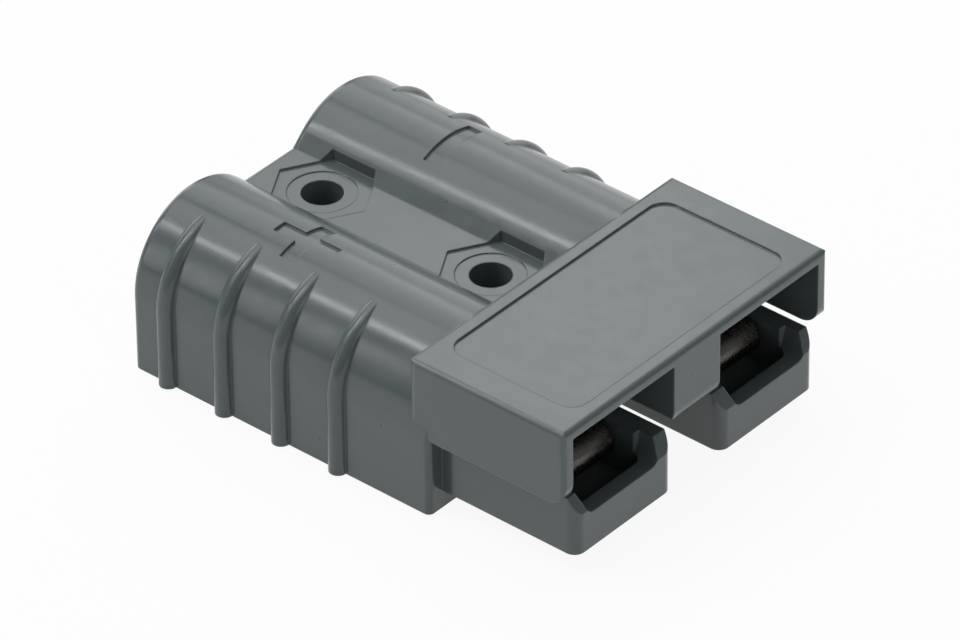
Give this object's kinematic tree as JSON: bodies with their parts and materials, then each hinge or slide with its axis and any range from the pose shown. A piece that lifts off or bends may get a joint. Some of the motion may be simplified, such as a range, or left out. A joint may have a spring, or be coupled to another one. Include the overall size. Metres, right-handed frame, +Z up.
{
  "type": "genderless power connector",
  "caption": "Rectangular genderless power connector half with paired cable barrels, a hood over open tongues, spring-backed contacts and mounting holes.",
  "frame": {"origin": "on the underside plane, at the middle of the overall length and width", "axes": "+X from the cable end to the mating face, +Y across the poles towards the negative pole, +Z up from the underside to the hood's top plate"},
  "size_m": [0.0502, 0.0382, 0.0159],
  "materials": {
    "housing": "semi-gloss grey moulded polycarbonate",
    "contact": "silver-plated copper",
    "spring": "rolled stainless strip"
  },
  "bodies": {
    "root": {"housing": "housing", "contact_positive": "contact", "contact_negative": "contact", "spring_positive": "spring", "spring_negative": "spring"}
  },
  "joints": []
}
